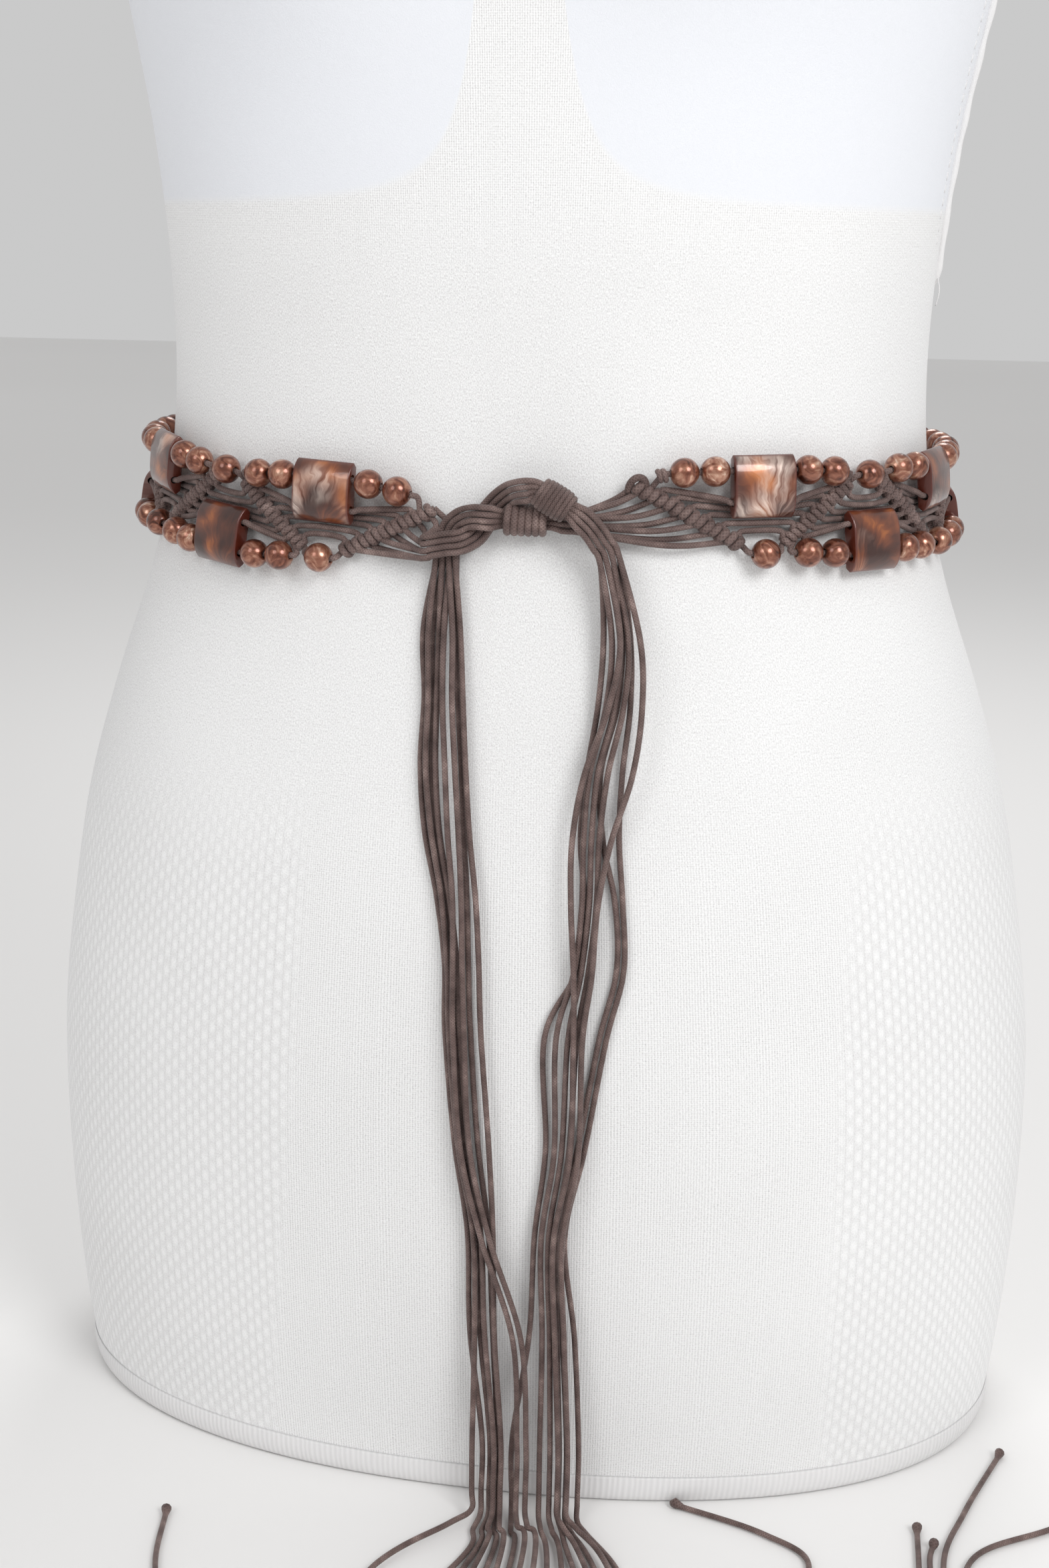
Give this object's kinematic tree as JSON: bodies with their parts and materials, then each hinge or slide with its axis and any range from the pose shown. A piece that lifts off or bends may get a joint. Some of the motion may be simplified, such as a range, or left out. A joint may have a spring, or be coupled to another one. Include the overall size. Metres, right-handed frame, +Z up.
{
  "type": "macrame belt on a dress form",
  "caption": "Knotted cord belt with round beads and domed tiles in a zigzag band, tied at the front of a limbless jersey-covered dress form, its cord tails running down to the table.",
  "frame": {"origin": "middle of the dress form's flat base, on the table", "axes": "+Z up along the form, -Y out of the form's front, +X towards its left side, the viewer's right"},
  "size_m": [0.4246, 0.4955, 0.822],
  "materials": {
    "jersey_cover": "white waffle-knit stretch jersey, matt",
    "waxed_cord": "taupe brown waxed cotton cord, low sheen",
    "pearl_resin": "copper brown pearl resin, polished"
  },
  "bodies": {
    "root": {"dress_form": "jersey_cover", "cover_hem_band": "jersey_cover", "bar_section_01": "waxed_cord", "bar_section_02": "waxed_cord", "bar_section_03": "waxed_cord", "bar_section_04": "waxed_cord", "bar_section_05": "waxed_cord", "bar_section_06": "waxed_cord", "bar_section_07": "waxed_cord", "bar_section_08": "waxed_cord", "bar_section_09": "waxed_cord", "bar_section_10": "waxed_cord", "bar_section_11": "waxed_cord", "bar_section_12": "waxed_cord", "bar_section_13": "waxed_cord", "bar_section_14": "waxed_cord", "bar_section_15": "waxed_cord", "bar_section_16": "waxed_cord", "bar_section_17": "waxed_cord", "bar_section_18": "waxed_cord", "bead_row_01": "pearl_resin", "bead_row_02": "pearl_resin", "bead_row_03": "pearl_resin", "bead_row_04": "pearl_resin", "bead_row_05": "pearl_resin", "bead_row_06": "pearl_resin", "bead_row_07": "pearl_resin", "bead_row_08": "pearl_resin", "bead_row_09": "pearl_resin", "bead_row_10": "pearl_resin", "bead_row_11": "pearl_resin", "bead_row_12": "pearl_resin", "bead_row_13": "pearl_resin", "bead_row_14": "pearl_resin", "bead_row_15": "pearl_resin", "bead_row_16": "pearl_resin", "bead_row_17": "pearl_resin", "single_bead_01": "pearl_resin", "single_bead_02": "pearl_resin", "single_bead_03": "pearl_resin", "single_bead_04": "pearl_resin", "single_bead_05": "pearl_resin", "single_bead_06": "pearl_resin", "single_bead_07": "pearl_resin", "single_bead_08": "pearl_resin", "single_bead_09": "pearl_resin", "single_bead_10": "pearl_resin", "single_bead_11": "pearl_resin", "single_bead_12": "pearl_resin", "single_bead_13": "pearl_resin", "single_bead_14": "pearl_resin", "single_bead_15": "pearl_resin", "single_bead_16": "pearl_resin", "single_bead_17": "pearl_resin", "right_end_wrap_and_tail": "waxed_cord", "left_end_wrap_and_tail": "waxed_cord"}
  },
  "joints": []
}
